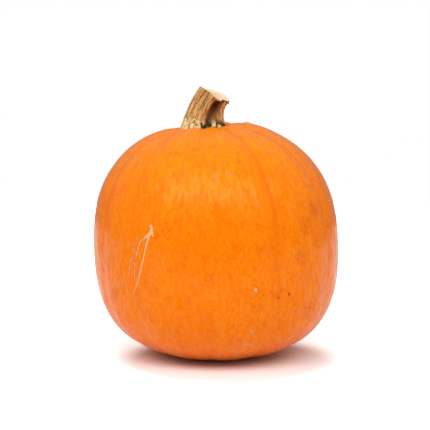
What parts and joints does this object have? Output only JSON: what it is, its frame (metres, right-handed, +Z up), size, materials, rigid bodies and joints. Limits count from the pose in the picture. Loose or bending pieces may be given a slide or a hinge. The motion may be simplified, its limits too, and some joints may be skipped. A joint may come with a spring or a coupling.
{
  "type": "pumpkin",
  "caption": "Whole ripe field pumpkin, round and shallowly ribbed, with a short cut corky stem, standing on a small flat spot.",
  "frame": {"origin": "centre of the flat spot under the fruit, on the surface it stands on", "axes": "+Z up, +X to the right and +Y away from a viewer who sees the stem lean to the right"},
  "size_m": [0.237, 0.2378, 0.2611],
  "materials": {
    "rind": "satin",
    "corky_stem": "matte"
  },
  "bodies": {
    "root": {"fruit": "rind", "stem": "corky_stem"}
  },
  "joints": []
}
